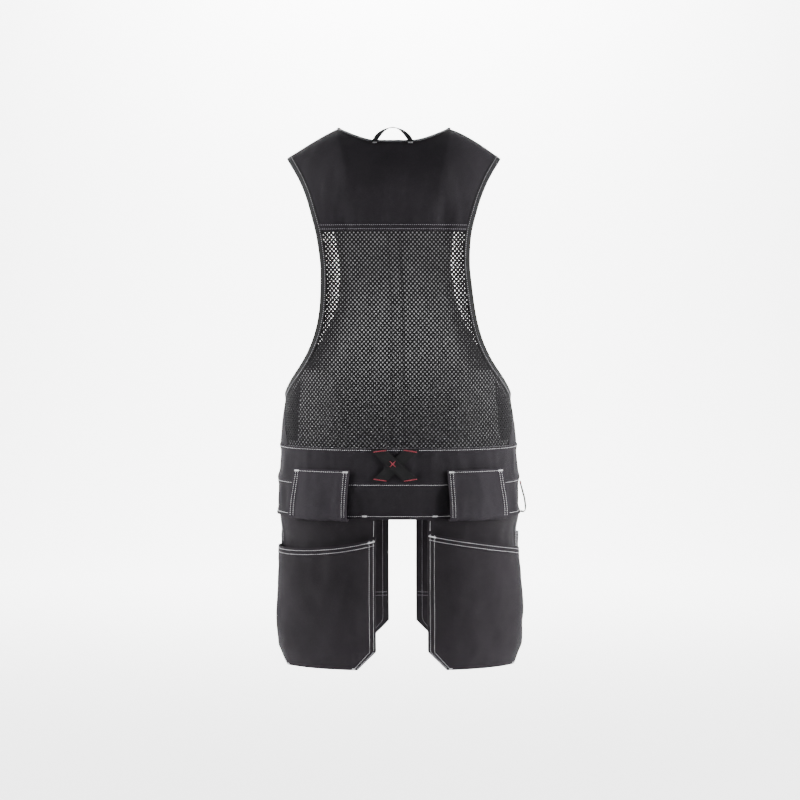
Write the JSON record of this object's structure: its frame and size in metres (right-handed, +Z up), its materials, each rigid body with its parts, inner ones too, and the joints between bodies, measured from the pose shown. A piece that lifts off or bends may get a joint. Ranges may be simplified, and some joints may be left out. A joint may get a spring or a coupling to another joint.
{
  "type": "utility work vest",
  "caption": "Sleeveless work vest with canvas yoke, open net back, double waistband with crossed webbing, hammer loops and hanging holster pockets.",
  "frame": {"origin": "Seat on the wearer's shoulders, midway between them: the vest is held up here, by shoulders or a form.", "axes": "+Z up along the body; -Y out of the back of the vest, +Y out of its front; +X to the right when the back is seen, the wearer's right."},
  "size_m": [0.466, 0.3378, 0.9897],
  "materials": {
    "canvas": "matt black coated canvas",
    "netting": "black knitted diamond net",
    "binding_tape": "black folded binding tape",
    "webbing": "black woven webbing",
    "zip_tape": "black zip with closed coil"
  },
  "bodies": {
    "root": {"back_yoke": "canvas", "front_panel_left": "canvas", "front_panel_right": "canvas", "side_panel_left": "canvas", "side_panel_right": "canvas", "waistband_upper": "canvas", "waistband_lower": "canvas", "hammer_loop_left": "canvas", "hammer_loop_right": "canvas", "holster_rear_left_backing": "canvas", "holster_rear_left_pocket": "canvas", "holster_rear_right_backing": "canvas", "holster_rear_right_pocket": "canvas", "holster_front_left_backing": "canvas", "holster_front_left_pocket": "canvas", "holster_front_right_backing": "canvas", "holster_front_right_pocket": "canvas", "back_net": "netting", "armhole_tape_left": "binding_tape", "armhole_tape_right": "binding_tape", "neck_tape": "binding_tape", "cross_strap_rising": "webbing", "cross_strap_falling": "webbing", "side_loop_right": "webbing", "hang_loop": "webbing", "front_zip": "zip_tape"}
  },
  "joints": []
}
